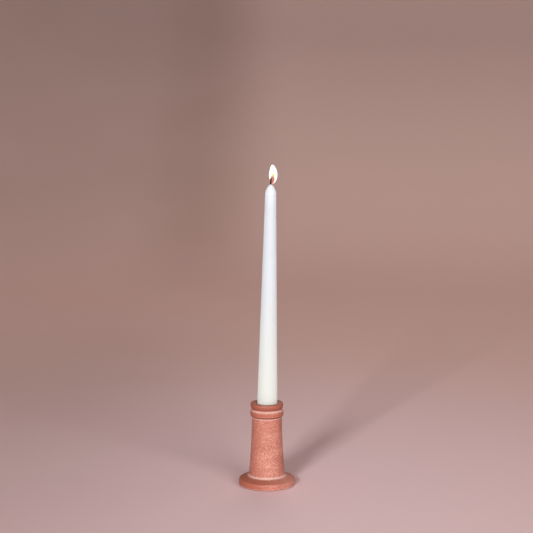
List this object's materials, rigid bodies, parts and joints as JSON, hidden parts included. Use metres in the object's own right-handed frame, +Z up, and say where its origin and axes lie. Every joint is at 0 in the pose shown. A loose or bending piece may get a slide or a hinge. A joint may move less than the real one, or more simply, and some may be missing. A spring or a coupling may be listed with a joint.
{
  "type": "candle holder with taper candle",
  "caption": "Taper candle with a burnt wick, standing in a small round cast candle holder with a banded collar, a waisted column and a wide foot; the candle lifts out.",
  "frame": {"origin": "centre of the felt disc's underside, on the surface that the holder stands on", "axes": "+Z up along the holder's axis, -Y the front, +X the side that the candle leans to, by 0.9 degrees"},
  "size_m": [0.0582, 0.0582, 0.319],
  "materials": {
    "cast_terracotta": "matte",
    "felt": "matte",
    "wax": "satin",
    "cotton": "matte",
    "charred_cotton": "matte"
  },
  "bodies": {
    "holder": {"holder_body": "cast_terracotta", "felt_pad": "felt"},
    "candle": {"candle_wax": "wax", "wick": "cotton", "burnt_wick_tip": "charred_cotton"}
  },
  "joints": [
    {"name": "candle_lift", "type": "slide", "parent": "holder", "child": "candle", "axis": [0, 0, 1], "range_m": [0, 0.04]}
  ]
}
